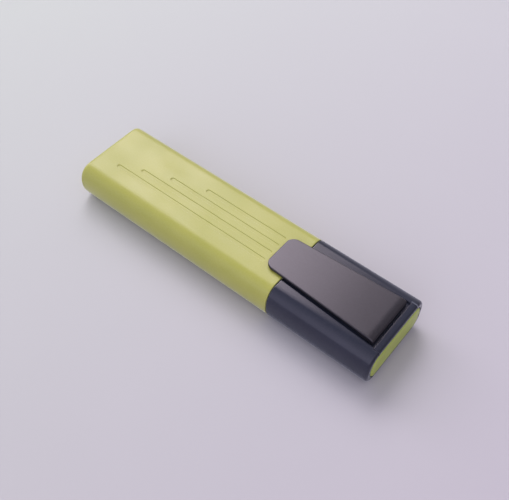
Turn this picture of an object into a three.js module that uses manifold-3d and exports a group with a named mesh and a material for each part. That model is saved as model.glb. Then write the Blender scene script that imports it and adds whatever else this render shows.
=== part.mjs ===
// A flat-barrelled highlighter pen with a push-on cap, lying on its underside.
// Millimetres. Origin: centre of the underside. +X runs from the tail to the cap end, +Z is up.

import * as THREE from "three";
import { mergeVertices } from "three/addons/utils/BufferGeometryUtils.js";
import Module from "manifold-3d";

const wasm = await Module();
wasm.setup();

// ---------------------------------------------------------------- driving dimensions

const LENGTH = 110.5; // tail face to the face of the cap plug
const WIDTH = 28;
const THICK = 13;
const SIDE = 4.2; // how far each rounded side bulges out past the level top and bottom
const WALL = 1.6;
const TAIL_WALL = 2.7; // the barrel's wall beside its plug, behind the crowned edges
const BARREL_LENGTH = 75.6;
const SEAM_GAP = 0.3; // between the barrel's mouth and the cap's rim
const PLUG_PROUD = 0.3; // the cap plug stands this far out of the cap's end
const CAP_LENGTH = LENGTH - BARREL_LENGTH - SEAM_GAP - PLUG_PROUD;
const MID_HEIGHT = THICK / 2;

// Moulded-edge roundings.
const TAIL_ROUND = 0.6;
const TAIL_CROWN = 1.8; // along the tail's top and bottom edges
const CAP_END_ROUND = 0.9;
const PLUG_ROUND = 0.5;

// Fits, as the gap on each side.
const PRESS_GAP = 0.05;
const BUTT_GAP = 0.1;
const SLIDE_GAP = 0.15;

// Pressed lines on the barrel's top. Each starts further from the tail, by a step that grows each time.
const GROOVE = { count: 4, pitch: 3.3, width: 1.4, depth: 0.3, start: 8.6, step: 7.5, growth: 1.26, end: 67.6 };

// The counterbores that seat the flanges of the two end plugs.
const TAIL_SEAT = { inset: 2.2, depth: 1.8 };
const CAP_SEAT = { inset: 1.25, depth: 1.6 };

// Ink reservoir: a flat-oval fibre core in a film sleeve, centred by ribs on the barrel's walls.
const RESERVOIR = { width: 21.6, height: 7.2, side: 3, start: 9, end: 71, film: 0.2 };
const RESERVOIR_RIB = { thick: 0.8, across: 7 };
const TAIL_SKIRT = { start: 1, end: 7.5, wall: 1.1 };
const TAIL_WALL_END = 8;
const PUSHER = { width: 16, height: 5.2, thick: 1.2 };

// Fibre nib, through the front section and into the reservoir, ground to a slanted chisel.
const NIB = { width: 5.2, height: 3.4, corner: 0.6, start: 63.5, tip: 101.6, slant: 2.8 };
const NIB_WEDGE = { start: 97.2, tipHeight: 2 };
const NIB_POCKET = { clear: 0.1, deep: 0.3 };

// Front section: a skirt in the barrel, a neck for the cap, a land for the inner seal, a nose round the nib.
const SKIRT = { start: 66.5, wall: 1, hollowEnd: 80 };
const NECK = { start: 71, end: 85, round: 1, beadAt: 79.5, beadWidth: 1.4 };
const LAND = { width: 13.1, height: 7.3, side: 3.2, end: 88.6 };
const NOSE = { width: 12.5, height: 6.9, tipWidth: 7.8, tipHeight: 5.6, end: 96.5, rings: 4 };

// From here on, distances run from the cap's rim.

// Inner seal: a cup that closes over the land, on a plate that stops against ribs in the cap.
const SEAL = { mouth: 10.3, base: 27.3, baseThick: 1, wall: 0.8 };
const STOP_RIB = { across: 9, thick: 0.8, length: 6.9, tall: 1 };
const CAP_RING = { wall: 1.25 };
const POST = { across: 9.6, width: 2, height: 6 };

// Clip: a plate over the cap that reaches back over the barrel, hooked into a slot near the cap's end.
const CLIP = { freeEnd: -6.3, root: 31.9, freeWidth: 13.2, rootWidth: 17, corner: 3.1, seatStart: 27.4 };
const CLIP_TOP = THICK + 1.3;
const CLIP_UNDER = THICK + 0.2;
const CLIP_ROLL = 2.9; // length of the curve that brings the root down to the cap
const CLIP_LEAD_IN = 0.45;
const CLIP_EDGE = 0.3;
const CLIP_BEAD = { at: -4.3, half: 1.1, drop: 0.15 };
const CLIP_FOOT = { start: 29.4, end: 31, width: 9, bottom: 10.55, barb: 0.5, barbTop: 11.15 };
const CLIP_SLOT = { clear: 0.3, sideClear: 0.4 };
const POCKET = { depth: 0.8, freeMargin: 0.4, rootMargin: 0.7, end: 32.25 };
const POCKET_FLOOR = THICK - POCKET.depth;
const CLIP_SEAT = POCKET_FLOOR + 0.2;

// Facets.
const ARC_STEPS = 16; // in each rounded side
const CORNER_STEPS = 6; // in each small corner
const ROUND_STEPS = 4; // in each edge rounding
const PAST = 1; // how far a cut runs past the face that it opens

// ---------------------------------------------------------------- materials

const lime = new THREE.MeshStandardMaterial({ color: 0xb9ba52, roughness: 0.5, metalness: 0 });
const charcoal = new THREE.MeshStandardMaterial({ color: 0x34343f, roughness: 0.4, metalness: 0 });
const naturalPlastic = new THREE.MeshStandardMaterial({ color: 0xdfe0da, roughness: 0.4, metalness: 0 });
const inkedFelt = new THREE.MeshStandardMaterial({ color: 0xc9d23c, roughness: 0.9, metalness: 0 });
const inkedFibre = new THREE.MeshStandardMaterial({ color: 0xd0d86a, roughness: 0.95, metalness: 0 });
const film = new THREE.MeshStandardMaterial({ color: 0xe4e6e2, roughness: 0.2, metalness: 0 });

// ---------------------------------------------------------------- from geometry to solid to mesh

function solidOf(geometry) {
  const bare = geometry.index ? geometry.toNonIndexed() : geometry;
  bare.deleteAttribute("normal");
  bare.deleteAttribute("uv");
  const merged = mergeVertices(bare, 1e-4);
  const mesh = new wasm.Mesh({
    numProp: 3,
    vertProperties: merged.attributes.position.array,
    triVerts: new Uint32Array(merged.index.array),
  });
  return new wasm.Manifold(mesh);
}

function meshOf(name, solid, material) {
  const { vertProperties, triVerts } = solid.getMesh();
  const geometry = new THREE.BufferGeometry()
    .setAttribute("position", new THREE.BufferAttribute(vertProperties, 3))
    .setIndex(new THREE.BufferAttribute(triVerts, 1));
  geometry.computeVertexNormals();
  const mesh = new THREE.Mesh(geometry, material);
  mesh.name = name;
  return mesh;
}

function joined(solids) {
  return solids.reduce((all, solid) => all.add(solid));
}

// ---------------------------------------------------------------- outlines

// A flat oval centred on (0, 0): level top and bottom, half-elliptical sides of the given depth.
function flatOval(width, height, side) {
  const flat = width / 2 - side;
  const shape = new THREE.Shape();
  shape.absellipse(flat, 0, side, height / 2, -Math.PI / 2, Math.PI / 2, false);
  shape.absellipse(-flat, 0, side, height / 2, Math.PI / 2, 1.5 * Math.PI, false);
  shape.closePath();
  return shape;
}

// The pen's own outline, shrunk evenly by inset.
function outline(inset = 0) {
  return flatOval(WIDTH - 2 * inset, THICK - 2 * inset, SIDE - inset);
}

// A closed outline through [x, y, soften] points, each corner cut back and curved by its soften distance.
function softPolygon(points) {
  const shape = new THREE.Shape();
  const corners = points.map(([x, y]) => new THREE.Vector2(x, y));
  points.forEach(([x, y, soften = 0], i) => {
    const before = corners.at(i - 1);
    const after = corners[(i + 1) % corners.length];
    const enter = corners[i].clone().lerp(before, soften / corners[i].distanceTo(before));
    const leave = corners[i].clone().lerp(after, soften / corners[i].distanceTo(after));
    if (i === 0) shape.moveTo(enter.x, enter.y);
    else shape.lineTo(enter.x, enter.y);
    if (soften > 0) shape.quadraticCurveTo(x, y, leave.x, leave.y);
  });
  shape.closePath();
  return shape;
}

function softRect(width, height, soften) {
  const [x, y] = [width / 2, height / 2];
  return softPolygon([[x, -y, soften], [x, y, soften], [-x, y, soften], [-x, -y, soften]]);
}

// ---------------------------------------------------------------- solids from outlines

const ACROSS_TO_Y = new THREE.Matrix4().makeBasis(
  new THREE.Vector3(0, 1, 0),
  new THREE.Vector3(0, 0, 1),
  new THREE.Vector3(1, 0, 0),
);

// A bar of the given cross-section along X, at the pen's mid height. round softens the edges of both ends.
function barGeometry(shape, start, end, { round = 0, steps = 1, curveSegments = ARC_STEPS } = {}) {
  const geometry = new THREE.ExtrudeGeometry(shape, {
    depth: end - start - 2 * round,
    steps,
    curveSegments,
    bevelEnabled: round > 0,
    bevelThickness: round,
    bevelSize: round,
    bevelOffset: -round,
    bevelSegments: ROUND_STEPS,
  });
  return geometry.translate(0, 0, start + round).applyMatrix4(ACROSS_TO_Y).translate(0, 0, MID_HEIGHT);
}

function bar(shape, start, end, options) {
  return solidOf(barGeometry(shape, start, end, options));
}

function tube(outer, inner, start, end) {
  outer.holes.push(inner);
  return bar(outer, start, end);
}

// A bar that narrows along X, slowly and then faster, to the given shares of its width and height.
function taperedBar(shape, start, end, widthShare, heightShare, rings) {
  const geometry = barGeometry(shape, start, end, { steps: rings });
  const position = geometry.attributes.position;
  for (let i = 0; i < position.count; i++) {
    const along = (position.getX(i) - start) / (end - start);
    const eased = along * (0.6 + 0.4 * along);
    const rise = (position.getZ(i) - MID_HEIGHT) * THREE.MathUtils.lerp(1, heightShare, eased);
    position.setY(i, position.getY(i) * THREE.MathUtils.lerp(1, widthShare, eased));
    position.setZ(i, MID_HEIGHT + rise);
  }
  return solidOf(geometry);
}

function extruded(shape, depth) {
  return new THREE.ExtrudeGeometry(shape, { depth, curveSegments: CORNER_STEPS, bevelEnabled: false });
}

// A plan outline in X and Y, from low to high.
function slab(plan, low, high) {
  return solidOf(extruded(plan, high - low).translate(0, 0, low));
}

// A side profile in X and Z, run right across the pen.
function acrossPen(profile) {
  return solidOf(extruded(profile, 2 * WIDTH).rotateX(Math.PI / 2).translate(0, WIDTH, 0));
}

// A box between two values on each axis, given in either order.
function block(...ranges) {
  const [x, y, z] = ranges.map(([a, b]) => ({ size: Math.abs(b - a), mid: (a + b) / 2 }));
  const geometry = new THREE.BoxGeometry(x.size, y.size, z.size);
  return solidOf(geometry.translate(x.mid, y.mid, z.mid));
}

const spread = (centre, size) => [centre - size / 2, centre + size / 2];

// Everything from start to end along X, wider and taller than the pen.
function slice(start, end) {
  return block([start, end], spread(0, 2 * WIDTH), spread(MID_HEIGHT, 2 * THICK));
}

// ---------------------------------------------------------------- barrel group: X from the tail face

// Ribs that reach in from the barrel's walls. They centre the reservoir and stop the front section's skirt.
function reservoirRibs() {
  const reach = [RESERVOIR.start, SKIRT.start - BUTT_GAP];
  const levelOffset = RESERVOIR.height / 2 + BUTT_GAP;
  const sideOffset = RESERVOIR.width / 2 + BUTT_GAP;
  const ribs = [];
  for (const hand of [-1, 1]) {
    const y = spread(hand * RESERVOIR_RIB.across, RESERVOIR_RIB.thick);
    ribs.push(block(reach, y, [MID_HEIGHT + levelOffset, THICK]));
    ribs.push(block(reach, y, [MID_HEIGHT - levelOffset, 0]));
    ribs.push(block(reach, [hand * sideOffset, hand * WIDTH / 2], spread(MID_HEIGHT, RESERVOIR_RIB.thick)));
  }
  return joined(ribs);
}

function grooves() {
  const half = GROOVE.width / 2;
  const cuts = [];
  let start = GROOVE.start;
  for (let i = 0; i < GROOVE.count; i++) {
    const y = (i - (GROOVE.count - 1) / 2) * GROOVE.pitch;
    const plan = new THREE.Shape();
    plan.absarc(start + half, y, half, Math.PI / 2, 1.5 * Math.PI, false);
    plan.absarc(GROOVE.end - half, y, half, -Math.PI / 2, Math.PI / 2, false);
    plan.closePath();
    cuts.push(slab(plan, THICK - GROOVE.depth, THICK + PAST));
    start += GROOVE.step * GROOVE.growth ** i;
  }
  return joined(cuts);
}

function barrel() {
  // The blank runs past the mouth, and is cut square there, so that only its tail edge is rounded.
  const blank = bar(outline(), 0, BARREL_LENGTH + 2 * TAIL_ROUND, { round: TAIL_ROUND });
  const crown = acrossPen(softPolygon([
    [0, 0, TAIL_CROWN],
    [BARREL_LENGTH + WIDTH, 0],
    [BARREL_LENGTH + WIDTH, THICK],
    [0, THICK, TAIL_CROWN],
  ]));
  const mouth = slice(BARREL_LENGTH, BARREL_LENGTH + WIDTH);
  const hollow = bar(outline(WALL), TAIL_WALL_END, BARREL_LENGTH + PAST).subtract(reservoirRibs());
  const tailOpening = bar(outline(TAIL_WALL), -PAST, TAIL_WALL_END + PAST);
  const plugSeat = bar(outline(TAIL_SEAT.inset), -PAST, TAIL_SEAT.depth);
  const shell = blank.intersect(crown).subtract(joined([mouth, hollow, tailOpening, plugSeat, grooves()]));
  return meshOf("barrel", shell, lime);
}

function tailPlug() {
  const flange = bar(outline(TAIL_SEAT.inset + SLIDE_GAP), 0, TAIL_SEAT.depth - PRESS_GAP);
  const inset = TAIL_WALL + PRESS_GAP;
  const skirt = tube(outline(inset), outline(inset + TAIL_SKIRT.wall), TAIL_SKIRT.start, TAIL_SKIRT.end);
  const reach = [TAIL_SKIRT.start, RESERVOIR.start - BUTT_GAP];
  const level = block(reach, spread(0, PUSHER.width), spread(MID_HEIGHT, PUSHER.thick));
  const upright = block(reach, spread(0, PUSHER.thick), spread(MID_HEIGHT, PUSHER.height));
  return meshOf("tail_plug", joined([flange, skirt, level, upright]), lime);
}

// The reservoir's outline, shrunk evenly by inset.
function reservoirOutline(inset) {
  return flatOval(RESERVOIR.width - 2 * inset, RESERVOIR.height - 2 * inset, RESERVOIR.side - inset);
}

function nibHole(start, end) {
  const clear = 2 * NIB_POCKET.clear;
  return bar(softRect(NIB.width + clear, NIB.height + clear, NIB.corner), start, end, {
    curveSegments: CORNER_STEPS,
  });
}

function reservoirCore() {
  const core = bar(reservoirOutline(RESERVOIR.film + PRESS_GAP), RESERVOIR.start, RESERVOIR.end);
  const pocket = nibHole(NIB.start - NIB_POCKET.deep, RESERVOIR.end + PAST);
  return meshOf("reservoir_core", core.subtract(pocket), inkedFibre);
}

function reservoirFilm() {
  const sleeve = tube(reservoirOutline(0), reservoirOutline(RESERVOIR.film), RESERVOIR.start, RESERVOIR.end);
  return meshOf("reservoir_film", sleeve, film);
}

function nibSection() {
  const skirtInset = WALL + PRESS_GAP;
  const skirt = bar(outline(skirtInset), SKIRT.start, BARREL_LENGTH);
  const neck = bar(outline(WALL + SLIDE_GAP), NECK.start, NECK.end, { round: NECK.round });
  const bead = bar(outline(skirtInset), ...spread(NECK.beadAt, NECK.beadWidth));
  const land = bar(flatOval(LAND.width, LAND.height, LAND.side), NECK.end - PAST, LAND.end);
  const nose = taperedBar(
    flatOval(NOSE.width, NOSE.height, LAND.side),
    LAND.end - PAST,
    NOSE.end,
    NOSE.tipWidth / NOSE.width,
    NOSE.tipHeight / NOSE.height,
    NOSE.rings,
  );
  const hollow = bar(outline(skirtInset + SKIRT.wall), SKIRT.start - PAST, SKIRT.hollowEnd);
  const bore = nibHole(SKIRT.hollowEnd - PAST, NOSE.end + PAST);
  const section = joined([skirt, neck, bead, land, nose]).subtract(hollow).subtract(bore);
  return meshOf("nib_section", section, charcoal);
}

function chiselNib() {
  const half = NIB.width / 2;
  const plan = softPolygon([
    [NIB.start, -half],
    [NIB.tip - NIB.slant, -half, NIB.corner],
    [NIB.tip, half, NIB.corner],
    [NIB.start, half],
  ]);
  const rod = bar(softRect(NIB.width, NIB.height, NIB.corner), NIB.start, NIB.tip + PAST, {
    curveSegments: CORNER_STEPS,
  });
  const wedge = acrossPen(softPolygon([
    [NIB.start - PAST, MID_HEIGHT - NIB.height],
    [NIB_WEDGE.start, MID_HEIGHT - NIB.height],
    [NIB_WEDGE.start, MID_HEIGHT - NIB.height / 2],
    [NIB.tip, MID_HEIGHT - NIB_WEDGE.tipHeight / 2],
    [NIB.tip, MID_HEIGHT + NIB_WEDGE.tipHeight / 2],
    [NIB_WEDGE.start, MID_HEIGHT + NIB.height / 2],
    [NIB_WEDGE.start, MID_HEIGHT + NIB.height],
    [NIB.start - PAST, MID_HEIGHT + NIB.height],
  ]));
  return meshOf("chisel_nib", rod.intersect(slab(plan, 0, THICK)).intersect(wedge), inkedFelt);
}

// ---------------------------------------------------------------- cap group: X from the cap's rim

// A plan that widens as the clip does, grown by the given margins at its free end and its root.
function clipPlan(freeEnd, root, { freeMargin = 0, rootMargin = 0, corner = 0 }) {
  const half = (x) => THREE.MathUtils.mapLinear(
    x,
    CLIP.freeEnd,
    CLIP.root,
    CLIP.freeWidth / 2 + freeMargin,
    CLIP.rootWidth / 2 + rootMargin,
  );
  return softPolygon([
    [root, -half(root)],
    [root, half(root)],
    [freeEnd, half(freeEnd), corner],
    [freeEnd, -half(freeEnd), corner],
  ]);
}

// The clip from the side: a lead-in and a gripping bead at the free end, a root that rolls down to the cap.
function clipSide() {
  const { at, half, drop } = CLIP_BEAD;
  const side = new THREE.Shape();
  side.moveTo(CLIP.freeEnd, CLIP_UNDER + CLIP_LEAD_IN);
  side.lineTo(at - half, CLIP_UNDER);
  side.quadraticCurveTo(at, CLIP_UNDER - 2 * drop, at + half, CLIP_UNDER);
  side.lineTo(CLIP.seatStart - (CLIP_UNDER - CLIP_SEAT), CLIP_UNDER);
  side.lineTo(CLIP.seatStart, CLIP_SEAT);
  side.lineTo(CLIP.root, CLIP_SEAT);
  side.absellipse(CLIP.root - CLIP_ROLL, CLIP_SEAT, CLIP_ROLL, CLIP_TOP - CLIP_SEAT, 0, Math.PI / 2, false);
  side.lineTo(CLIP.freeEnd + CLIP_EDGE, CLIP_TOP);
  side.quadraticCurveTo(CLIP.freeEnd, CLIP_TOP, CLIP.freeEnd, CLIP_TOP - CLIP_EDGE);
  side.closePath();
  return side;
}

function clip() {
  const plan = clipPlan(CLIP.freeEnd, CLIP.root, CLIP);
  const plate = slab(plan, 0, 2 * THICK).intersect(acrossPen(clipSide()));
  const { start, end, width, bottom, barb, barbTop } = CLIP_FOOT;
  const web = block([start, end], spread(0, width), [bottom, THICK]);
  const hook = block([start - barb, end], spread(0, width), [bottom, barbTop]);
  return meshOf("clip", joined([plate, web, hook]), charcoal);
}

// Ribs on the cap's top and bottom walls that stop the inner seal's plate.
function stopRibs() {
  const end = SEAL.base - BUTT_GAP;
  const reach = [end - STOP_RIB.length, end];
  const ribs = [];
  for (const hand of [-1, 1]) {
    const y = spread(hand * STOP_RIB.across, STOP_RIB.thick);
    ribs.push(block(reach, y, [0, WALL + STOP_RIB.tall]));
    ribs.push(block(reach, y, [THICK - WALL - STOP_RIB.tall, THICK]));
  }
  return joined(ribs);
}

function clipSlot() {
  const x = [CLIP_FOOT.start - CLIP_SLOT.clear, CLIP_FOOT.end + CLIP_SLOT.clear];
  return block(x, spread(0, CLIP_FOOT.width + 2 * CLIP_SLOT.sideClear), [MID_HEIGHT, THICK]);
}

function capShell() {
  // The blank starts before the rim, and is cut square there, so that only its closed end is rounded.
  const blank = bar(outline(), -2 * CAP_END_ROUND, CAP_LENGTH, { round: CAP_END_ROUND });
  const rim = slice(-WIDTH, 0);
  const hollow = bar(outline(WALL), -PAST, CAP_LENGTH + PAST).subtract(stopRibs());
  const plugSeat = bar(outline(CAP_SEAT.inset), CAP_LENGTH - CAP_SEAT.depth, CAP_LENGTH + PAST);
  const pocket = slab(clipPlan(2 * CLIP.freeEnd, POCKET.end, POCKET), POCKET_FLOOR, THICK + PAST);
  const shell = blank.subtract(joined([rim, hollow, plugSeat, pocket, clipSlot()]));
  return meshOf("cap_shell", shell, charcoal);
}

function capPlug() {
  const flangeStart = CAP_LENGTH - CAP_SEAT.depth + PRESS_GAP;
  const flangeShape = outline(CAP_SEAT.inset + SLIDE_GAP);
  const blank = bar(flangeShape, flangeStart - PAST, CAP_LENGTH + PLUG_PROUD, { round: PLUG_ROUND });
  const flange = blank.subtract(slice(0, flangeStart));
  const inset = WALL + SLIDE_GAP;
  const ringStart = CLIP_FOOT.end + CLIP_SLOT.clear;
  const ring = tube(outline(inset), outline(inset + CAP_RING.wall), ringStart, flangeStart + BUTT_GAP);
  const reach = [SEAL.base + SEAL.baseThick + BUTT_GAP, flangeStart + BUTT_GAP];
  const posts = [-1, 1].map((hand) =>
    block(reach, spread(hand * POST.across, POST.width), spread(MID_HEIGHT, POST.height)),
  );
  return meshOf("cap_plug", joined([flange, ring, ...posts]), lime);
}

function innerSeal() {
  const cupOutline = (gap) => flatOval(LAND.width + 2 * gap, LAND.height + 2 * gap, LAND.side + gap);
  const [outer, inner] = [cupOutline(SLIDE_GAP + SEAL.wall), cupOutline(SLIDE_GAP)];
  const cup = tube(outer, inner, SEAL.mouth, SEAL.base + BUTT_GAP);
  const plate = bar(outline(WALL + SLIDE_GAP), SEAL.base, SEAL.base + SEAL.baseThick);
  return meshOf("inner_seal", cup.add(plate), naturalPlastic);
}

// ---------------------------------------------------------------- the pen

const barrelGroup = new THREE.Group();
barrelGroup.add(barrel(), tailPlug(), reservoirCore(), reservoirFilm(), nibSection(), chiselNib());

const capGroup = new THREE.Group();
capGroup.position.x = BARREL_LENGTH + SEAM_GAP;
capGroup.add(capShell(), capPlug(), innerSeal(), clip());

const pen = new THREE.Group();
pen.position.x = -LENGTH / 2;
pen.add(barrelGroup, capGroup);

const part = new THREE.Group();
part.add(pen);

export default part;
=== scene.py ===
"""A flat highlighter pen: fine meshes, moulded plastics, floor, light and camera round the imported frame."""

import math

import bmesh
import bpy
import numpy as np
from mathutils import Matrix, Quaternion, Vector


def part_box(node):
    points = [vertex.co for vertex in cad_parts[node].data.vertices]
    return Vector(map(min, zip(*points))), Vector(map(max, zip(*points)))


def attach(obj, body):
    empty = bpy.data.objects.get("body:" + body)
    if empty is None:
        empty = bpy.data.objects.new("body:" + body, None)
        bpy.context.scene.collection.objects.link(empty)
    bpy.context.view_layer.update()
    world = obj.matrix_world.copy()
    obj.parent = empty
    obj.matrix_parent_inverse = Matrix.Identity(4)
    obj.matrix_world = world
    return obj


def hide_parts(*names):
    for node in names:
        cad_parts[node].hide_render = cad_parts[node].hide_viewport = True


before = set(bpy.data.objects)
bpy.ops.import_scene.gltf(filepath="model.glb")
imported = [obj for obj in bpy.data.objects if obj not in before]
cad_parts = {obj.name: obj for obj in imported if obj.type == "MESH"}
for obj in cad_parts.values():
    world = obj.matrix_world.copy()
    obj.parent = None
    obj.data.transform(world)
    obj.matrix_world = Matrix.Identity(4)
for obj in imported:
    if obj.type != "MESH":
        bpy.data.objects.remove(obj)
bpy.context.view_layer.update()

MM = 0.001

# ---------------------------------------------------------------- places and sizes from the frame

BARREL_LOW, BARREL_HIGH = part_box("barrel")
CAP_LOW, CAP_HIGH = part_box("cap_shell")
CLIP_LOW, CLIP_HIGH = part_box("clip")
SECTION_LOW, SECTION_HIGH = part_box("nib_section")
SEAL_LOW, SEAL_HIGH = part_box("inner_seal")
NIB_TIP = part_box("chisel_nib")[1].x
CAP_PLUG_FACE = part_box("cap_plug")[1].x
TAIL_PLUG_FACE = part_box("tail_plug")[0].x

TAIL = BARREL_LOW.x
MOUTH = BARREL_HIGH.x
RIM = CAP_LOW.x
CAP_END = CAP_HIGH.x
HALF_WIDTH = BARREL_HIGH.y
HALF_HEIGHT = BARREL_HIGH.z / 2
TOP = BARREL_HIGH.z

# ---------------------------------------------------------------- sizes shared by several pieces

SIDE = 4.5 * MM  # depth of each rounded side
SIDE_POWER = 2.2  # a little squarer than an ellipse
WALL = 1.6 * MM
PRESS_GAP = 0.05 * MM  # between pieces that press together
PLUG_GAP = 0.15 * MM  # round the end plugs and the inner seal
LIP_ROUND = 0.16 * MM  # at the barrel's mouth and the cap's rim

# ---------------------------------------------------------------- sizes of the barrel and its plug

TAIL_WALL = 2.7 * MM  # the barrel's wall beside its plug
TAIL_WALL_END = TAIL + 8 * MM
TAIL_ROUND = 0.6 * MM
TAIL_CROWN = 1.6 * MM  # the larger rounding along the tail's top and bottom edges
TAIL_SEAT = TAIL + 1.8 * MM
TAIL_SEAT_INSET = 2.2 * MM
TAIL_SEAT_CHAMFER = 0.1 * MM

TAIL_PLUG_END = TAIL + 7.5 * MM
TAIL_PLUG_WALL = 1.1 * MM
TAIL_PLUG_ROUND = 0.25 * MM

GROOVE_COUNT = 4
GROOVE_PITCH = 3.3 * MM
GROOVE_HALF = 0.7 * MM
GROOVE_FLOOR_HALF = 0.57 * MM
GROOVE_DEPTH = 0.19 * MM
GROOVE_END = TAIL + 68.1 * MM
GROOVE_START = TAIL + 8.6 * MM  # of the longest line
GROOVE_STEP = 7.5 * MM  # from its start to that of the next line
GROOVE_GROWTH = 1.26  # each step is this many times the one before
# rows of points each side of a line's middle, close together on its wall
GROOVE_ROWS = np.array([0.35, 0.7, 0.79, 0.84, 0.89, 0.94, 0.99, 1.04, 1.2]) * GROOVE_HALF
ROW_SPACING = 0.02 * MM  # the least distance between two rows of points
TOP_TOLERANCE = 0.01 * MM  # points this close to the barrel's top count as on it

# ---------------------------------------------------------------- sizes of the front section and its nib

NECK_GAP = 0.15 * MM  # between the neck and the cap
NECK_END = TAIL + 85 * MM
NECK_ROUND = 1 * MM
SNAP_BEAD_AT = TAIL + 79.5 * MM
SNAP_BEAD_HALF = 1 * MM
SNAP_BEAD_HEIGHT = 0.1 * MM
SKIRT_WALL = 1 * MM
SKIRT_HOLLOW_END = TAIL + 80 * MM

LAND_END = TAIL + 88.6 * MM  # the land is what the cap's seal grips
LAND_HALVES = (6.55 * MM, 3.65 * MM)  # half its width and half its height, as for each of the HALVES
LAND_EDGE = (0.97, 0.96)  # shares of its width and height that are left at its front edge
LAND_EDGE_LENGTH = 0.2 * MM
NOSE_HALVES = (6.25 * MM, 3.45 * MM)
NOSE_TIP_HALVES = (3.9 * MM, 2.8 * MM)
NOSE_SIDE = 3.2 * MM  # depth of the rounded sides of the nose and the land
NOSE_ROUND = 0.4 * MM
NOSE_EVENNESS = 0.6  # share of the taper that is straight, while the rest quickens towards the tip

# the nib's bore
BORE_HALVES = (2.7 * MM, 1.8 * MM)
BORE_SIDE = 0.8 * MM
BORE_POWER = 5
BORE_FLARE = 1.04  # how many times larger it is at its mouth

NIB_HALVES = (2.6 * MM, 1.7 * MM)
NIB_SIDE = 0.75 * MM
NIB_POWER = 4
NIB_START = SECTION_HIGH.x - 6 * MM
NIB_SLANT = 2.8 * MM  # how far the tip falls back across the nib
NIB_WEDGE_START = NIB_TIP - 4.6 * MM
NIB_WEDGE_END = NIB_TIP + 1.5 * MM  # past the tip, so the tip keeps some height
NIB_WEDGE = 0.55  # share of the height that a full wedge would take off
NIB_SOFT_SHARE = 0.06  # share of its length over which the tip is rounded
NIB_SOFTNESS = 0.16  # share of its section that the rounding takes off
NIB_SOFT_POWER = 2.5

# ---------------------------------------------------------------- sizes of the cap, its plug and its seal

CAP_END_ROUND = 0.9 * MM
CAP_SEAT = CAP_END - 1.6 * MM
CAP_SEAT_INSET = 1.7 * MM
CAP_SEAT_CHAMFER = (0.06 * MM, 0.04 * MM)  # along the pen and across it

POCKET_DEPTH = 0.8 * MM
POCKET_FREE_MARGIN = 0.4 * MM  # room beside the clip, which grows from its free end to its root
POCKET_ROOT_MARGIN = 0.7 * MM
POCKET_END = CLIP_HIGH.x + 0.35 * MM
POCKET_LIP = 0.08 * MM  # how far outside its edge the pocket's wall starts to fall
POCKET_FOOT = 0.12 * MM  # how far inside its edge the wall reaches the floor
# rows of points across the pocket's wall, from outside its edge to inside it
POCKET_ROWS = np.array([0.3, 0.16, 0.1, 0.06, 0.02, -0.02, -0.06, -0.1, -0.14, -0.2, -0.4]) * MM

SLOT_START = CLIP_HIGH.x - 2.8 * MM
SLOT_END = CLIP_HIGH.x - 0.6 * MM
SLOT_HALF = 4.9 * MM
SLOT_BELOW_WALL = 1 * MM  # how far the slot's cutter reaches below the wall
SLOT_ROUND = 0.15 * MM

CAP_PLUG_ROUND = 0.5 * MM
CAP_PLUG_DOME = 0.12 * MM
CAP_PLUG_RING_START = CLIP_HIGH.x - 0.6 * MM
CAP_PLUG_BORE_INSET = 3 * MM

SEAL_PLATE = 1 * MM
SEAL_FLOOR_SINK = 0.1 * MM  # how far the cup's floor is sunk into the plate
SEAL_GAP = 0.15 * MM  # between the cup and the land
SEAL_WALL = 0.8 * MM
SEAL_ROUND = 0.2 * MM

# ---------------------------------------------------------------- sizes of the clip

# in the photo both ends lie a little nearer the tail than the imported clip's
CLIP_FREE_END = CLIP_LOW.x - 0.45 * MM
CLIP_ROOT = CLIP_HIGH.x - 0.45 * MM
CLIP_FREE_HALF = 6.5 * MM
CLIP_CORNER = 2.7 * MM
CLIP_ROOT_CORNER = 0.5 * MM
CLIP_EDGE = 0.32 * MM
CLIP_THINNING = 0.3 * MM  # how far the top would rise over the whole span below
CLIP_THINNING_SPAN = (-0.5, 0.75)  # in shares of its length, so the clip has the upper 0.2 mm of it
CLIP_ROLL = 3.4 * MM  # length of the rounded fall at its root
CLIP_ROLL_POWER = 4  # the roll starts gently and ends steeply
CLIP_UNDER = TOP + 0.2 * MM  # its underside, just clear of the barrel
CLIP_LIFT = 0.45 * MM  # how far the underside rises at the free end
CLIP_LIFT_LENGTH = 1.2 * MM
CLIP_SEAT = TOP - 0.6 * MM  # the height of its underside at the root, inside the pocket
CLIP_SEAT_START = CLIP_HIGH.x - 4.5 * MM
CLIP_SEAT_SLOPE = 1 * MM
CLIP_BEAD_AT = CLIP_LOW.x + 2 * MM  # the bead under it, which grips
CLIP_BEAD_REACH = 0.6 * MM
CLIP_BEAD_DROP = 0.15 * MM

FOOT_START = CLIP_HIGH.x - 2.5 * MM
FOOT_END = CLIP_HIGH.x - 0.9 * MM
FOOT_HALF = 4.5 * MM
FOOT_OVERLAP = 0.3 * MM  # how far it reaches into the plate
FOOT_ROUND = 0.12 * MM
BARB_REACH = 0.5 * MM
BARB_SET_BACK = 0.1 * MM
BARB_HEIGHT = 0.6 * MM

# ---------------------------------------------------------------- outlines and lofts

ARC_STEPS = 28
LEVEL_STEPS = 24
EVEN = np.linspace(1, -1, LEVEL_STEPS + 1)


def smoothstep(start, end, value):
    """0 before start, 1 after end, and an eased rise between them."""
    share = np.clip((value - start) / (end - start), 0, 1)
    return share * share * (3 - 2 * share)


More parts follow.
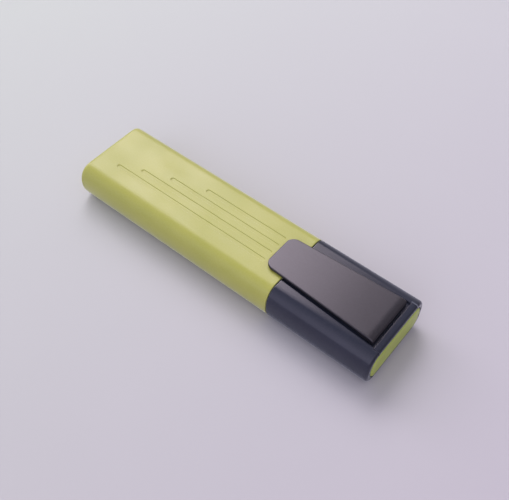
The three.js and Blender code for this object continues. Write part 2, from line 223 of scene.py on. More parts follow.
def oval(half_width, half_height, side, top=EVEN, power=2.0):
    """A flat oval as rows of (y, z) about the pen's axis, starting along its top from +Y.

    top holds the top's points as shares of the level half-width. A higher power squares the sides.
    """
    level = half_width - side
    turn = np.linspace(0, math.pi, ARC_STEPS + 1)[1:-1]
    out = side * np.sin(turn) ** (2 / power)
    up = half_height * np.sign(np.cos(turn)) * np.abs(np.cos(turn)) ** (2 / power)
    return np.vstack([
        np.column_stack([level * top, np.full(len(top), half_height)]),
        np.column_stack([-level - out, up]),
        np.column_stack([-level * EVEN, np.full(len(EVEN), -half_height)]),
        np.column_stack([level + out, -up]),
    ])


def outline(inset=0.0, top=EVEN, lowered=None):
    """The pen's own outline, shrunk by inset, or by lowered in its height."""
    half_height = HALF_HEIGHT - (inset if lowered is None else lowered)
    return oval(HALF_WIDTH - inset, half_height, SIDE - inset, top, SIDE_POWER)


def ring(x, flat):
    """A flat outline set square to the pen at x, which may be one value or one for each point."""
    return np.column_stack([np.broadcast_to(x, len(flat)), flat[:, 0], flat[:, 1] + HALF_HEIGHT])


def loft(name, rings, closed=False):
    """A mesh of quads between neighbouring rings, with flat ends, or with the last joined to the first."""
    count, size = len(rings), len(rings[0])
    here = np.arange(size)
    following = np.roll(here, -1)
    faces = []
    for k in range(count if closed else count - 1):
        a, b = k * size, (k + 1) % count * size
        faces += np.column_stack([a + here, a + following, b + following, b + here]).tolist()
    if not closed:
        faces += [here[::-1].tolist(), (here + (count - 1) * size).tolist()]
    mesh = bpy.data.meshes.new(name)
    mesh.from_pydata(np.vstack(rings).tolist(), [], faces)
    work = bmesh.new()
    work.from_mesh(mesh)
    bmesh.ops.recalc_face_normals(work, faces=work.faces)
    work.to_mesh(mesh)
    work.free()
    return mesh


def quarter(radius, steps=8):
    """(back, in) pairs for a rounded edge: how far each point is behind the face and inside the outline."""
    turn = np.linspace(0, math.pi / 2, steps + 1)
    return [(radius * (1 - math.cos(t)), radius * (1 - math.sin(t))) for t in turn]


def corner_inset(radius, away):
    """How far inside its outline a rounded corner lies, at a distance away from its end."""
    return radius - math.sqrt(radius**2 - max(radius - away, 0) ** 2)


def disc(x, flat, shares=(0.9, 0.7, 0.45, 0.2), dome=0.0):
    """Rings that close a flat outline towards its centre, rising by dome there."""
    return [ring(x + dome * (1 - share * share), flat * share) for share in shares]


def add_piece(name, mesh, body, node, material):
    """Puts a mesh in the scene, in place of a node of the frame and riding on its body."""
    piece = bpy.data.objects.new(name, mesh)
    bpy.context.scene.collection.objects.link(piece)
    mesh.shade_smooth()
    mesh.materials.clear()
    mesh.materials.append(material)
    even = piece.modifiers.new("even_shading", "WEIGHTED_NORMAL")
    even.keep_sharp = True
    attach(piece, body)
    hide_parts(node)
    return piece


def combined(mesh, tool, operation):
    """The mesh after a boolean with a second mesh."""
    pair = [bpy.data.objects.new(m.name, m) for m in (mesh, tool)]
    for thing in pair:
        bpy.context.scene.collection.objects.link(thing)
    cut = pair[0].modifiers.new("cut", "BOOLEAN")
    cut.operation = operation
    cut.object = pair[1]
    cut.solver = "MANIFOLD"
    depsgraph = bpy.context.evaluated_depsgraph_get()
    result = bpy.data.meshes.new_from_object(pair[0].evaluated_get(depsgraph), depsgraph=depsgraph)
    for thing in pair:
        bpy.data.objects.remove(thing)
    return result


def soft_block(name, low, high, soften):
    """A box with softened edges between two corners."""
    work = bmesh.new()
    bmesh.ops.create_cube(work, size=1)
    low, high = Vector(low), Vector(high)
    for vertex in work.verts:
        vertex.co = Vector(a + (b - a) * (c + 0.5) for a, b, c in zip(low, high, vertex.co))
    bmesh.ops.bevel(work, geom=work.edges[:], offset=soften, segments=3, affect="EDGES", profile=0.5)
    mesh = bpy.data.meshes.new(name)
    work.to_mesh(mesh)
    work.free()
    return mesh


# ---------------------------------------------------------------- node materials


def add_node(tree, kind, inputs=None, **settings):
    """Adds a shader node, with each input linked to a socket or set to a value."""
    made = tree.nodes.new("ShaderNode" + kind)
    for key, value in settings.items():
        setattr(made, key, value)
    for key, value in (inputs or {}).items():
        if isinstance(value, bpy.types.NodeSocket):
            tree.links.new(value, made.inputs[key])
        else:
            made.inputs[key].default_value = value
    return made


def noise(tree, where, size, detail=3.0, stretch=None):
    """Noise whose features are about size across, drawn out along an axis by stretch."""
    if stretch:
        where = add_node(tree, "Mapping", {"Vector": where, "Scale": stretch}).outputs["Vector"]
    inputs = {"Vector": where, "Scale": 1 / size, "Detail": detail, "Roughness": 0.55}
    return add_node(tree, "TexNoise", inputs).outputs["Fac"]


def spread(tree, value, low, high, to_low=0.0, to_high=1.0):
    """The value mapped from low..high to to_low..to_high."""
    inputs = {"Value": value, "From Min": low, "From Max": high, "To Min": to_low, "To Max": to_high}
    return add_node(tree, "MapRange", inputs).outputs["Result"]


def mixed(tree, share, first, second):
    """The first colour where share is 0, and the second where it is 1."""
    made = add_node(tree, "Mix", data_type="RGBA")
    for socket, value in ((0, share), (6, first), (7, second)):
        if isinstance(value, bpy.types.NodeSocket):
            tree.links.new(value, made.inputs[socket])
        else:
            made.inputs[socket].default_value = value
    return made.outputs[2]


def maths(tree, operation, first, second):
    """One step of arithmetic on two sockets or values."""
    made = add_node(tree, "Math", operation=operation)
    for socket, value in enumerate((first, second)):
        if isinstance(value, bpy.types.NodeSocket):
            tree.links.new(value, made.inputs[socket])
        else:
            made.inputs[socket].default_value = value
    return made.outputs[0]


def new_material(name):
    """A new material with its node tree, its shader and the place on the object, in metres."""
    material = bpy.data.materials.new(name)
    material.use_nodes = True
    tree = material.node_tree
    shader = tree.nodes["Principled BSDF"]
    where = add_node(tree, "TexCoord").outputs["Object"]
    return material, tree, shader, where


def solid(colour):
    """The colour with full alpha."""
    return (*colour, 1.0)


def moulded_plastic(
    name,
    colour,
    shade,
    worn,
    roughness,
    wear=1,
    grain=0.22 * MM,
    relief=0.012 * MM,
    glow=0,
    ior=1.5,
    sheen=(1, 1, 1),
    bloom=0,
    bloom_tint=(1, 1, 1),
):
    """Injection-moulded plastic: slow drifts of tone, fine spark grain, handling smudges and rubbed edges.

    Its tone drifts between colour and shade, and rubs off to worn. wear scales its smudges and scratches,
    sheen tints its reflections, bloom is a soft haze at grazing angles, and glow is how much light spreads
    inside it.
    """
    material, tree, shader, where = new_material(name)
    drift = noise(tree, where, 14 * MM, detail=2)
    fleck = noise(tree, where, 0.5 * MM, detail=4)
    smudge = noise(tree, where, 7 * MM, detail=4, stretch=(0.5, 1, 1))
    scuff = noise(tree, where, 0.6 * MM, detail=5, stretch=(0.06, 1.4, 1.4))
    spark = noise(tree, where, grain, detail=2)

    tone = mixed(tree, spread(tree, drift, 0.35, 0.65), solid(shade), solid(colour))
    tone = mixed(tree, spread(tree, fleck, 0.3, 0.7, 0, 0.12), tone, solid(worn))
    edges = spread(tree, add_node(tree, "NewGeometry").outputs["Pointiness"], 0.53, 0.62)
    rubbed = maths(tree, "MULTIPLY", edges, spread(tree, fleck, 0.35, 0.6, 0.1, 0.5))
    tone = mixed(tree, rubbed, tone, solid(worn))
    tree.links.new(tone, shader.inputs["Base Color"])

    scratched = spread(tree, scuff, 0.62, 0.7, 0, 0.07 * wear)
    rough = spread(tree, smudge, 0.3, 0.7, roughness - 0.05 * wear, roughness + 0.05 * wear)
    tree.links.new(maths(tree, "ADD", rough, scratched), shader.inputs["Roughness"])

    height = maths(tree, "ADD", spark, maths(tree, "MULTIPLY", scratched, -2.0))
    bump = add_node(tree, "Bump", {"Height": height, "Distance": relief, "Strength": 1.0})
    tree.links.new(bump.outputs["Normal"], shader.inputs["Normal"])
    shader.inputs["IOR"].default_value = ior
    shader.inputs["Specular Tint"].default_value = solid(sheen)
    shader.inputs["Sheen Weight"].default_value = bloom
    shader.inputs["Sheen Roughness"].default_value = 0.35
    shader.inputs["Sheen Tint"].default_value = solid(bloom_tint)
    shader.inputs["Subsurface Weight"].default_value = glow
    shader.inputs["Subsurface Radius"].default_value = (1.0, 0.9, 0.35)
    shader.inputs["Subsurface Scale"].default_value = 0.8 * MM
    return material


def inked_fibre(name, colour, shade, strand):
    """Bundled fibre soaked with ink: fine strands along the pen, darker where they pack together."""
    material, tree, shader, where = new_material(name)
    strands = noise(tree, where, strand, detail=5, stretch=(0.08, 1, 1))
    blotch = noise(tree, where, 3 * MM, detail=3)
    tone = mixed(tree, spread(tree, strands, 0.35, 0.65), solid(shade), solid(colour))
    tone = mixed(tree, spread(tree, blotch, 0.4, 0.75, 0, 0.4), tone, solid(shade))
    tree.links.new(tone, shader.inputs["Base Color"])
    tree.links.new(spread(tree, strands, 0.3, 0.7, 0.95, 0.75), shader.inputs["Roughness"])
    bump = add_node(tree, "Bump", {"Height": strands, "Distance": 0.08 * MM, "Strength": 1.0})
    tree.links.new(bump.outputs["Normal"], shader.inputs["Normal"])
    return material


def clear_film(name, colour):
    """Thin wrapped film with faint wrinkles along its length."""
    material, tree, shader, where = new_material(name)
    wrinkle = noise(tree, where, 1.6 * MM, detail=4, stretch=(0.2, 1, 1))
    tone = mixed(tree, spread(tree, wrinkle, 0.3, 0.7, 0, 0.25), solid(colour), (1, 1, 1, 1))
    tree.links.new(tone, shader.inputs["Base Color"])
    tree.links.new(spread(tree, wrinkle, 0.3, 0.7, 0.12, 0.3), shader.inputs["Roughness"])
    bump = add_node(tree, "Bump", {"Height": wrinkle, "Distance": 0.1 * MM, "Strength": 0.6})
    tree.links.new(bump.outputs["Normal"], shader.inputs["Normal"])
    shader.inputs["Transmission Weight"].default_value = 0.6
    return material


LIME = moulded_plastic(
    "lime_plastic",
    colour=(0.376, 0.362, 0.068),
    shade=(0.349, 0.342, 0.059),
    worn=(0.54, 0.52, 0.21),
    roughness=0.40,
    glow=0.12,
    sheen=(1.0, 0.93, 1.0),
    bloom=0.7,
)
# the cap's end plug: a separately moulded, greener lime, painted lighter than the barrel's lime to stand in
# for light falling on the cap's end face
LIT_PLUG_LIME = moulded_plastic(
    "lit_plug_lime",
    colour=(0.46, 0.53, 0.093),
    shade=(0.42, 0.49, 0.078),
    worn=(0.56, 0.57, 0.22),
    roughness=0.40,
    glow=0.12,
)
CHARCOAL = moulded_plastic(
    "charcoal_plastic",
    colour=(0.020, 0.023, 0.040),
    shade=(0.015, 0.018, 0.032),
    worn=(0.060, 0.060, 0.083),
    roughness=0.16,
    wear=0.5,
    relief=0.004 * MM,
    ior=1.39,
    sheen=(1.0, 0.88, 0.96),
    bloom=0.25,
    bloom_tint=(0.72, 0.76, 1.0),
)
CLIP_PLASTIC = moulded_plastic(
    "clip_plastic",
    colour=(0.011, 0.0105, 0.015),
    shade=(0.009, 0.0085, 0.012),
    worn=(0.06, 0.055, 0.07),
    roughness=0.28,
    wear=0.08,
    ior=1.545,
    sheen=(1.0, 0.87, 1.0),
    grain=0.16 * MM,
    relief=0.004 * MM,
)
NATURAL = moulded_plastic(
    "natural_plastic",
    colour=(0.70, 0.71, 0.66),
    shade=(0.63, 0.64, 0.58),
    worn=(0.8, 0.8, 0.76),
    roughness=0.42,
    glow=0.3,
)
FELT = inked_fibre("inked_felt", colour=(0.62, 0.70, 0.05), shade=(0.42, 0.47, 0.03), strand=0.18 * MM)
FIBRE = inked_fibre("inked_fibre", colour=(0.66, 0.71, 0.2), shade=(0.5, 0.54, 0.1), strand=0.3 * MM)
FILM = clear_film("clear_film", colour=(0.85, 0.87, 0.83))


# ---------------------------------------------------------------- barrel group


def groove_lines():
    """(start, y) of each pressed line, from the longest at -Y to the shortest."""
    start = GROOVE_START
    for i in range(GROOVE_COUNT):
        yield start, (i - (GROOVE_COUNT - 1) / 2) * GROOVE_PITCH
        start += GROOVE_STEP * GROOVE_GROWTH**i


def press_grooves(points):
    """Sinks the points of the barrel's top that lie in a pressed line."""
    for start, y in groove_lines():
        nearest = np.clip(points[:, 0], start + GROOVE_HALF, GROOVE_END - GROOVE_HALF)
        away = np.hypot(points[:, 0] - nearest, points[:, 1] - y)
        sink = GROOVE_DEPTH * (1 - smoothstep(GROOVE_FLOOR_HALF, GROOVE_HALF, away))
        points[:, 2] -= np.where(points[:, 2] > TOP - TOP_TOLERANCE, sink, 0)
    return points


def barrel_top_shares():
    """Where the barrel's top has its points, close together across each pressed line."""
    level = HALF_WIDTH - SIDE
    close = np.concatenate([-GROOVE_ROWS[::-1], [0], GROOVE_ROWS])
    places = [np.linspace(-level, level, 19)]
    for _, y in groove_lines():
        places.append(y + close)
    joined = np.unique(np.round(np.concatenate(places) / MM, 3))
    keep = np.concatenate([[True], np.diff(joined) > ROW_SPACING / MM])
    return joined[keep][::-1] * MM / level


def barrel_stations():
    """Where the barrel has its rings along the pen, close together at the ends of each pressed line."""
    ends = np.linspace(-0.2, 1.2, 26) * GROOVE_HALF
    stations = [np.linspace(TAIL + 1.3 * TAIL_CROWN, MOUTH - 2 * LIP_ROUND, 60), GROOVE_END - ends]
    for start, _ in groove_lines():
        stations.append(start + ends)
    return np.unique(np.round(np.concatenate(stations) / MM, 3)) * MM


def make_barrel():
    """The outside from tail to mouth, then the bore back to the tail plug's seat."""
    top = barrel_top_shares()
    rings = []
    for back, lowered in quarter(TAIL_CROWN, 14):
        rings.append(ring(TAIL + back, outline(corner_inset(TAIL_ROUND, back), top, lowered)))
    path = [(x, 0) for x in barrel_stations()]
    path += [(MOUTH - back, inside) for back, inside in quarter(LIP_ROUND, 4)[::-1]]
    path += [(MOUTH, WALL - LIP_ROUND), (MOUTH - LIP_ROUND, WALL)]
    path += [(x, WALL) for x in np.linspace(MOUTH - 2 * LIP_ROUND, TAIL_WALL_END, 12)]
    path += [(TAIL_WALL_END, TAIL_WALL), (TAIL_SEAT, TAIL_WALL)]
    path += [(TAIL_SEAT, TAIL_SEAT_INSET), (TAIL + TAIL_SEAT_CHAMFER, TAIL_SEAT_INSET)]
    path += [(TAIL, TAIL_SEAT_INSET - TAIL_SEAT_CHAMFER)]
    rings += [press_grooves(ring(x, outline(inset, top))) for x, inset in path]
    return loft("barrel_shell", rings, closed=True)


def make_tail_plug():
    """A level plate with a skirt that presses into the barrel."""
    back = TAIL_SEAT - PRESS_GAP
    skirt = TAIL_WALL + PRESS_GAP
    bore = skirt + TAIL_PLUG_WALL
    edge = TAIL_SEAT_INSET + PLUG_GAP
    path = [(back, bore), (TAIL_PLUG_END, bore), (TAIL_PLUG_END, skirt), (back, skirt), (back, edge)]
    path += [(TAIL_PLUG_FACE + away, edge + inside) for away, inside in quarter(TAIL_PLUG_ROUND, 5)[::-1]]
    rings = disc(back, outline(bore))[::-1]
    rings += [ring(x, outline(inset)) for x, inset in path]
    rings += disc(TAIL_PLUG_FACE, outline(edge + TAIL_PLUG_ROUND))
    return loft("tail_end_plug", rings)


def section_inside(bore):
    """The front section's inside, from the front of the nib's bore back to the open end of the skirt."""
    front = SECTION_HIGH.x
    rings = [ring(x, bore) for x in (front, (front + SKIRT_HOLLOW_END) / 2, SKIRT_HOLLOW_END)]
    hollow = outline(WALL + PRESS_GAP + SKIRT_WALL)
    return rings + [ring(x, hollow) for x in (SKIRT_HOLLOW_END, SECTION_LOW.x)]


def section_neck():
    """The skirt inside the barrel, and the neck with its snap bead inside the cap."""
    neck_inset = WALL + NECK_GAP
    rings = [ring(x, outline(WALL + PRESS_GAP)) for x in (SECTION_LOW.x, MOUTH)]
    for x in np.linspace(MOUTH, SNAP_BEAD_AT - 1.2 * SNAP_BEAD_HALF, 4):
        rings.append(ring(x, outline(neck_inset)))
    for along in np.linspace(-1, 1, 13):
        swell = SNAP_BEAD_HEIGHT * math.cos(along * math.pi / 2) ** 2
        rings.append(ring(SNAP_BEAD_AT + along * SNAP_BEAD_HALF, outline(neck_inset - swell)))
    for back, inside in quarter(NECK_ROUND)[::-1]:
        rings.append(ring(NECK_END - back, outline(neck_inset + inside)))
    return rings


def section_nose():
    """The land that the cap's seal grips, and the tapered nose with its rounded front edge."""
    land = oval(*LAND_HALVES, NOSE_SIDE)
    rings = [ring(x, land) for x in (NECK_END, LAND_END - LAND_EDGE_LENGTH)]
    rings.append(ring(LAND_END, land * LAND_EDGE))
    widest = oval(*NOSE_HALVES, NOSE_SIDE)
    tip_shares = [tip / full for tip, full in zip(NOSE_TIP_HALVES, NOSE_HALVES)]
    front = SECTION_HIGH.x
    for along in np.linspace(0, 1, 12):
        eased = along * (NOSE_EVENNESS + (1 - NOSE_EVENNESS) * along)
        nose = widest * [1 - eased * (1 - share) for share in tip_shares]
        rings.append(ring(LAND_END + along * (front - NOSE_ROUND - LAND_END), nose))
    for back, inside in quarter(NOSE_ROUND, 5)[::-1]:
        rings.append(ring(front - back, nose * (1 - inside / NOSE_TIP_HALVES[0])))
    return rings


def make_nib_section():
    """The front section that holds the nib, whose bore opens at its front."""
    bore = oval(*BORE_HALVES, BORE_SIDE, power=BORE_POWER)
    rings = section_inside(bore) + section_neck() + section_nose()
    rings.append(ring(SECTION_HIGH.x, bore * BORE_FLARE))
    return loft("front_section", rings, closed=True)


def make_nib():
    """A felt bar with a slanted tip, flattened to a wedge."""
    full = oval(*NIB_HALVES, NIB_SIDE, power=NIB_POWER)
    half_width = NIB_HALVES[0]
    tip = NIB_TIP - NIB_SLANT * (half_width - full[:, 0]) / (2 * half_width)
    rings = []
    for share in np.concatenate([np.linspace(0, 0.9, 24), 1 - np.geomspace(0.08, 0.004, 12), [1.0]]):
        x = NIB_START + share * (tip - NIB_START)
        flatten = 1 - NIB_WEDGE * smoothstep(NIB_WEDGE_START, NIB_WEDGE_END, x)
        rounding = max(0.0, 1 - (1 - share) / NIB_SOFT_SHARE)
        soften = 1 - NIB_SOFTNESS * rounding**NIB_SOFT_POWER
        rings.append(ring(x, np.column_stack([full[:, 0] * soften, full[:, 1] * flatten * soften])))
    return loft("felt_nib", rings)


# ---------------------------------------------------------------- cap group


def clip_half(x):
    """Half the clip's width at x."""
    share = (x - CLIP_LOW.x) / (CLIP_HIGH.x - CLIP_LOW.x)
    return CLIP_FREE_HALF + share * (CLIP_HIGH.y - CLIP_FREE_HALF)


def pocket_half(x):
    """Half the pocket's width at x."""
    x = np.minimum(x, POCKET_END)
    share = (x - CLIP_LOW.x) / (CLIP_HIGH.x - CLIP_LOW.x)
    return clip_half(x) + POCKET_FREE_MARGIN + share * (POCKET_ROOT_MARGIN - POCKET_FREE_MARGIN)


def cap_top_shares(x):
    """Where the cap's top has its points at x, close together across the pocket's edges."""
    level = HALF_WIDTH - SIDE
    edge = pocket_half(x)
    outer = np.linspace(level, edge + POCKET_ROWS[0], 6)[:-1]
    inner = np.linspace(edge + POCKET_ROWS[-1], 0, 10)[1:]
    half = np.concatenate([outer, edge + POCKET_ROWS, inner])
    return np.concatenate([half, -half[-2::-1]]) / level


def sink_pocket(points):
    """Sinks the points of the cap's top that lie in the clip's pocket."""
    x, across = points[:, 0], np.abs(points[:, 1])
    edge = pocket_half(x)
    inside = 1 - smoothstep(edge - POCKET_FOOT, edge + POCKET_LIP, across)
    before_end = 1 - smoothstep(POCKET_END - POCKET_FOOT, POCKET_END + POCKET_LIP, x)
    on_top = points[:, 2] > TOP - CAP_END_ROUND
    points[:, 2] -= np.where(on_top, POCKET_DEPTH * inside * before_end, 0)
    return points


def cap_stations():
    """Where the cap's outside has its rings along the pen, close together at the pocket's end."""
    return np.concatenate([
        np.linspace(RIM + 2 * LIP_ROUND, POCKET_END - 1 * MM, 30),
        (POCKET_END - POCKET_ROWS)[1:],
        np.linspace(POCKET_END + 0.55 * MM, CAP_END - CAP_END_ROUND - 0.1 * MM, 4),
    ])


def make_cap_shell():
    """The outside from rim to end, then the lining back from the plug's seat, with the clip's slot cut."""
    path = [(RIM + back, inside) for back, inside in quarter(LIP_ROUND, 4)]
    path += [(x, 0) for x in cap_stations()]
    path += [(CAP_END - back, inside) for back, inside in quarter(CAP_END_ROUND, 10)[::-1]]
    chamfer_back, chamfer_in = CAP_SEAT_CHAMFER
    path += [(CAP_END, CAP_SEAT_INSET - chamfer_in), (CAP_END - chamfer_back, CAP_SEAT_INSET)]
    path += [(CAP_SEAT, CAP_SEAT_INSET)]
    outer = [sink_pocket(ring(x, outline(inset, cap_top_shares(x)))) for x, inset in path]
    lining = [(x, WALL) for x in np.linspace(CAP_SEAT, RIM + LIP_ROUND, 12)]
    lining += [(RIM, WALL - LIP_ROUND / 2)]
    inner = [ring(x, outline(inset, cap_top_shares(x))) for x, inset in lining]
    shell = loft("cap_body", outer + inner, closed=True)
    slot_low = (SLOT_START, -SLOT_HALF, TOP - WALL - SLOT_BELOW_WALL)
    slot_high = (SLOT_END, SLOT_HALF, TOP)
    return combined(shell, soft_block("slot", slot_low, slot_high, SLOT_ROUND), "DIFFERENCE")


def make_cap_plug():
    """A slightly domed plate, with a ring behind it that presses into the cap."""
    back = CAP_SEAT + PRESS_GAP
    edge = CAP_SEAT_INSET + PLUG_GAP
    rim = CAP_PLUG_FACE - CAP_PLUG_DOME
    ring_inset = WALL + PLUG_GAP
    path = [(back, CAP_PLUG_BORE_INSET), (CAP_PLUG_RING_START, CAP_PLUG_BORE_INSET)]
    path += [(CAP_PLUG_RING_START, ring_inset), (back, ring_inset), (back, edge)]
    path += [(rim - away, edge + inside) for away, inside in quarter(CAP_PLUG_ROUND)[::-1]]
    rings = disc(back, outline(CAP_PLUG_BORE_INSET))[::-1]
    rings += [ring(x, outline(inset)) for x, inset in path]
    shares = (0.97, 0.92, 0.85, 0.75, 0.6, 0.45, 0.3, 0.15)
    rings += disc(rim, outline(edge + CAP_PLUG_ROUND), shares, CAP_PLUG_DOME)
    return loft("cap_end_plug", rings)


def seal_cup(gap):
    """The outline of the front section's land, grown by gap."""
    half_width, half_height = LAND_HALVES
    return oval(half_width + gap, half_height + gap, NOSE_SIDE + gap)


def make_inner_seal():
    """A cup that closes on the front section's land, on a plate that fills the cap."""
    mouth, back = SEAL_LOW.x, SEAL_HIGH.x
    plate = back - SEAL_PLATE
    cup_floor = plate + SEAL_FLOOR_SINK
    inner_gap, outer_gap = SEAL_GAP, SEAL_GAP + SEAL_WALL
    inside, outside = seal_cup(inner_gap), seal_cup(outer_gap)
    edge = outline(WALL + PLUG_GAP)
    rings = disc(cup_floor, inside)[::-1]
    rings += [ring(x, inside) for x in np.linspace(cup_floor, mouth + SEAL_ROUND, 8)]
    rings += [ring(mouth, seal_cup(gap)) for gap in (inner_gap + SEAL_ROUND, outer_gap - SEAL_ROUND)]
    rings += [ring(x, outside) for x in np.linspace(mouth + SEAL_ROUND, plate, 8)]
    rings += [ring(plate, edge), ring(back, edge)]
    rings += disc(back, edge)
    return loft("inner_cup", rings)


def clip_stations():
    """(x, half width, underside, top) along the clip, from its free end to its root."""
    free, root = CLIP_FREE_END, CLIP_ROOT
    spacing = 0.3 * MM
    last_turn = math.radians(88.5)  # just short of the root, where the roll would close up
    nose = free + CLIP_CORNER * (1 - np.cos(np.linspace(0, math.pi / 2, 15)))
    roll = root - CLIP_ROLL + CLIP_ROLL * np.sin(np.linspace(0, last_turn, 22))
    middle = np.linspace(free + CLIP_CORNER + spacing, root - CLIP_ROLL - spacing, 36)
    for x in np.concatenate([nose, middle, roll]):
        away, left = x - free, root - x
        half = clip_half(x) - corner_inset(CLIP_CORNER, away) - corner_inset(CLIP_ROOT_CORNER, left)
        top = CLIP_HIGH.z - CLIP_THINNING * (1 - smoothstep(*CLIP_THINNING_SPAN, away / (root - free)))
        if left < CLIP_ROLL:
            fall = (1 - (1 - left / CLIP_ROLL) ** CLIP_ROLL_POWER) ** (1 / CLIP_ROLL_POWER)
            top = CLIP_SEAT + (top - CLIP_SEAT) * fall
        top -= corner_inset(CLIP_EDGE, away)
        under = CLIP_UNDER + CLIP_LIFT * (1 - smoothstep(0, CLIP_LIFT_LENGTH, away))
        under -= CLIP_BEAD_DROP * math.exp(-(((x - CLIP_BEAD_AT) / CLIP_BEAD_REACH) ** 2))
        seated = smoothstep(CLIP_SEAT_START - CLIP_SEAT_SLOPE, CLIP_SEAT_START, x)
        yield x, half, under + (CLIP_SEAT - under) * seated, top


def plate_section(half, low, high):
    """A flat plate's outline as rows of (y, z), with rounded edges, from its top at +Y."""
    soft = min(CLIP_EDGE, 0.49 * (high - low))
    across = half - soft
    corner = np.linspace(0, math.pi / 2, 7)[1:]
    top_corner = np.column_stack([-across - soft * np.sin(corner), high - soft + soft * np.cos(corner)])
    low_corner = np.column_stack([-across - soft * np.cos(corner), low + soft - soft * np.sin(corner)])
    side = np.array([[-half, low + soft + share * (high - low - 2 * soft)] for share in (0.67, 0.33, 0)])
    top = np.column_stack([across * EVEN, np.full(len(EVEN), high)])
    left = np.vstack([top_corner, side, low_corner[:-1]])
    bottom = np.column_stack([-across * EVEN, np.full(len(EVEN), low)])
    right = left[::-1] * [-1, 1]
    return np.vstack([top, left, bottom, right])


def make_clip_foot():
    """The web that goes down through the cap's slot, with the barb that hooks behind its edge."""
    low = (FOOT_START, -FOOT_HALF, CLIP_LOW.z)
    high = (FOOT_END, FOOT_HALF, CLIP_SEAT + FOOT_OVERLAP)
    web = soft_block("clip_foot", low, high, FOOT_ROUND)
    barb_low = (FOOT_START - BARB_REACH, -FOOT_HALF, CLIP_LOW.z)
    barb_high = (FOOT_END - BARB_SET_BACK, FOOT_HALF, CLIP_LOW.z + BARB_HEIGHT)
    return combined(web, soft_block("clip_barb", barb_low, barb_high, FOOT_ROUND), "UNION")


def make_clip():
    """The clip's plate, joined to its foot."""
    rings = []
    for x, half, low, high in clip_stations():
        flat = plate_section(half, low, high)
        rings.append(np.column_stack([np.full(len(flat), x), flat]))
    return combined(loft("clip_plate", rings), make_clip_foot(), "UNION")


# ---------------------------------------------------------------- the pen

add_piece("barrel_shell", make_barrel(), "barrel", "barrel", LIME)
add_piece("tail_end_plug", make_tail_plug(), "barrel", "tail_plug", LIME)
add_piece("front_section", make_nib_section(), "barrel", "nib_section", CHARCOAL)
add_piece("felt_nib", make_nib(), "barrel", "chisel_nib", FELT)
add_piece("cap_body", make_cap_shell(), "cap", "cap_shell", CHARCOAL)
add_piece("cap_end_plug", make_cap_plug(), "cap", "cap_plug", LIT_PLUG_LIME)
add_piece("inner_cup", make_inner_seal(), "cap", "inner_seal", NATURAL)
add_piece("plate_clip", make_clip(), "clip", "clip", CLIP_PLASTIC)

# the reservoir keeps the frame's own meshes
for node_name, inner_material in (("reservoir_core", FIBRE), ("reservoir_film", FILM)):
    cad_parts[node_name].data.materials.clear()
    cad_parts[node_name].data.materials.append(inner_material)

# ---------------------------------------------------------------- floor, light and camera

FLOOR_REACH = 6000 * MM  # each way from the pen
FLOOR_FALLOFF_SPAN = 150 * MM  # the span, each way from the pen, of the floor's painted light falloff
# corner tones of the floor's painted light falloff: lightest at the far tail corner, towards the light,
# darkest and most lilac at the near cap corner
NEAR_TAIL_TONE = (0.494, 0.503, 0.490)
NEAR_CAP_TONE = (0.414, 0.355, 0.434)
FAR_TAIL_TONE = (0.556, 0.563, 0.554)
FAR_CAP_TONE = (0.470, 0.422, 0.495)
CLOUD_TONE = (0.55, 0.51, 0.56)
PANEL_EDGE = 5  # degrees over which a light panel fades, each way
CAMERA_AIM = (0.35 * MM, 0, HALF_HEIGHT)


def add_floor():
    """A wide level floor, painted lighter towards the tail and the far side, where the light comes from, and
    darker and more lilac past the cap on the near side: painted light falloff.
    """
    mesh = bpy.data.meshes.new("floor")
    signs = [(-1, -1), (1, -1), (1, 1), (-1, 1)]
    corners = [(x * FLOOR_REACH, y * FLOOR_REACH, 0) for x, y in signs]
    mesh.from_pydata(corners, [], [(0, 1, 2, 3)])
    floor = bpy.data.objects.new("floor", mesh)
    bpy.context.scene.collection.objects.link(floor)
    material, tree, shader, where = new_material("pale_floor")
    place = add_node(tree, "SeparateXYZ", {"Vector": where}).outputs
    # painted light falloff: lighter towards the tail and the far side
    along = spread(tree, place["X"], -FLOOR_FALLOFF_SPAN, FLOOR_FALLOFF_SPAN)
    across = spread(tree, place["Y"], -FLOOR_FALLOFF_SPAN, FLOOR_FALLOFF_SPAN)
    near = mixed(tree, along, solid(NEAR_TAIL_TONE), solid(NEAR_CAP_TONE))
    far = mixed(tree, along, solid(FAR_TAIL_TONE), solid(FAR_CAP_TONE))
    tone = mixed(tree, across, near, far)
    cloud = noise(tree, where, 60 * MM, detail=2)
    tone = mixed(tree, spread(tree, cloud, 0.35, 0.65, 0, 0.06), tone, solid(CLOUD_TONE))
    tree.links.new(tone, shader.inputs["Base Color"])
    shader.inputs["Roughness"].default_value = 0.75
    mesh.materials.append(material)


def facing(tree, towards, azimuth, elevation):
    """How squarely a direction faces a place in the sky. Azimuth is measured from +X towards +Y."""
    a, e = math.radians(azimuth), math.radians(elevation)
    place = (math.cos(a) * math.cos(e), math.sin(a) * math.cos(e), math.sin(e))
    return add_node(tree, "VectorMath", {0: towards, 1: place}, operation="DOT_PRODUCT").outputs["Value"]


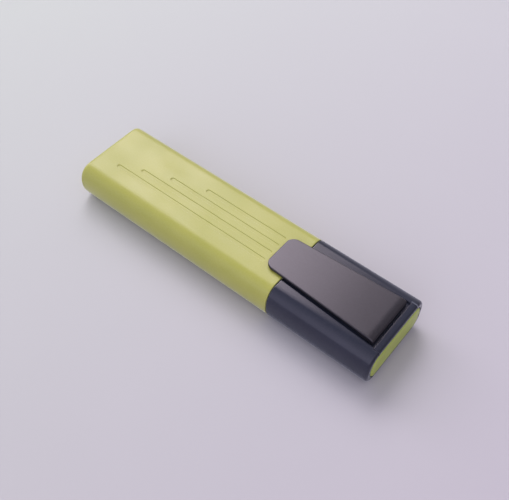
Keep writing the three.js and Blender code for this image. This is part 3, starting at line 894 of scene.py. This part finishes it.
def set_world(panels, glows, backdrop):
    """Lights the scene from the sky, while the camera itself sees an even backdrop.

    Each of the panels is a round soft-edged patch, as (azimuth, elevation, radius, colour) in degrees.
    Each of the glows is a broad fill that fades evenly, as (azimuth, elevation, sharpness, colour).
    """
    world = bpy.data.worlds.new("studio")
    world.use_nodes = True
    tree = world.node_tree
    towards = add_node(tree, "TexCoord").outputs["Generated"]
    shares = []
    for azimuth, elevation, radius, colour in panels:
        edges = {
            "Value": facing(tree, towards, azimuth, elevation),
            "From Min": math.cos(math.radians(radius + PANEL_EDGE)),
            "From Max": math.cos(math.radians(radius - PANEL_EDGE)),
        }
        share = add_node(tree, "MapRange", edges, interpolation_type="SMOOTHSTEP").outputs["Result"]
        shares.append((share, colour))
    for azimuth, elevation, sharpness, colour in glows:
        ahead = maths(tree, "MAXIMUM", facing(tree, towards, azimuth, elevation), 0.0)
        shares.append((maths(tree, "POWER", ahead, sharpness), colour))
    total = (0, 0, 0)
    for share, colour in shares:
        lit = add_node(tree, "VectorMath", {0: colour, "Scale": share}, operation="SCALE").outputs["Vector"]
        total = add_node(tree, "VectorMath", {0: total, 1: lit}, operation="ADD").outputs["Vector"]
    seen = add_node(tree, "LightPath").outputs["Is Camera Ray"]
    tree.links.new(mixed(tree, seen, total, solid(backdrop)), tree.nodes["Background"].inputs["Color"])
    bpy.context.scene.world = world


def add_camera(azimuth, elevation, roll, distance, lens, shift):
    """A camera that looks at CAMERA_AIM. Its azimuth is measured from -Y towards +X."""
    data = bpy.data.cameras.new("camera")
    data.lens = lens
    data.sensor_width = 36
    data.shift_x, data.shift_y = shift
    data.clip_start = 10 * MM
    camera = bpy.data.objects.new("camera", data)
    bpy.context.scene.collection.objects.link(camera)
    a, e = math.radians(azimuth), math.radians(elevation)
    back = Vector((math.sin(a) * math.cos(e), -math.cos(a) * math.cos(e), math.sin(e)))
    camera.location = Vector(CAMERA_AIM) + back * distance
    camera.rotation_mode = "QUATERNION"
    turn = Quaternion((0, 0, 1), math.radians(roll))
    camera.rotation_quaternion = back.to_track_quat("Z", "Y") @ turn
    bpy.context.scene.camera = camera


add_floor()
set_world(
    # the last two are mirrored in the barrel's top and the clip's free end
    panels=[
        (175, 30, 14, (3.8, 3.6, 4.0)),
        (131, 42, 14, (4.3, 4.2, 4.3)),
        (147, 51, 14, (4.8, 4.75, 4.85)),
    ],
    glows=[
        (180, 12, 4, (0.64, 0.64, 0.67)),
        (-90, 12, 4, (1.56, 1.63, 1.92)),
        (90, 12, 4, (0.75, 0.73, 0.74)),
        (0, 60, 4, (0.68, 0.68, 0.69)),
        (-90, 60, 4, (0.55, 0.55, 0.59)),
    ],
    backdrop=(0.66, 0.65, 0.70),
)
add_camera(
    azimuth=39.3,
    elevation=51.5,
    roll=0.275,
    distance=228.4 * MM,
    lens=53.4,
    shift=(0.0248, -0.0151),
)
bpy.context.scene.view_settings.view_transform = "Standard"
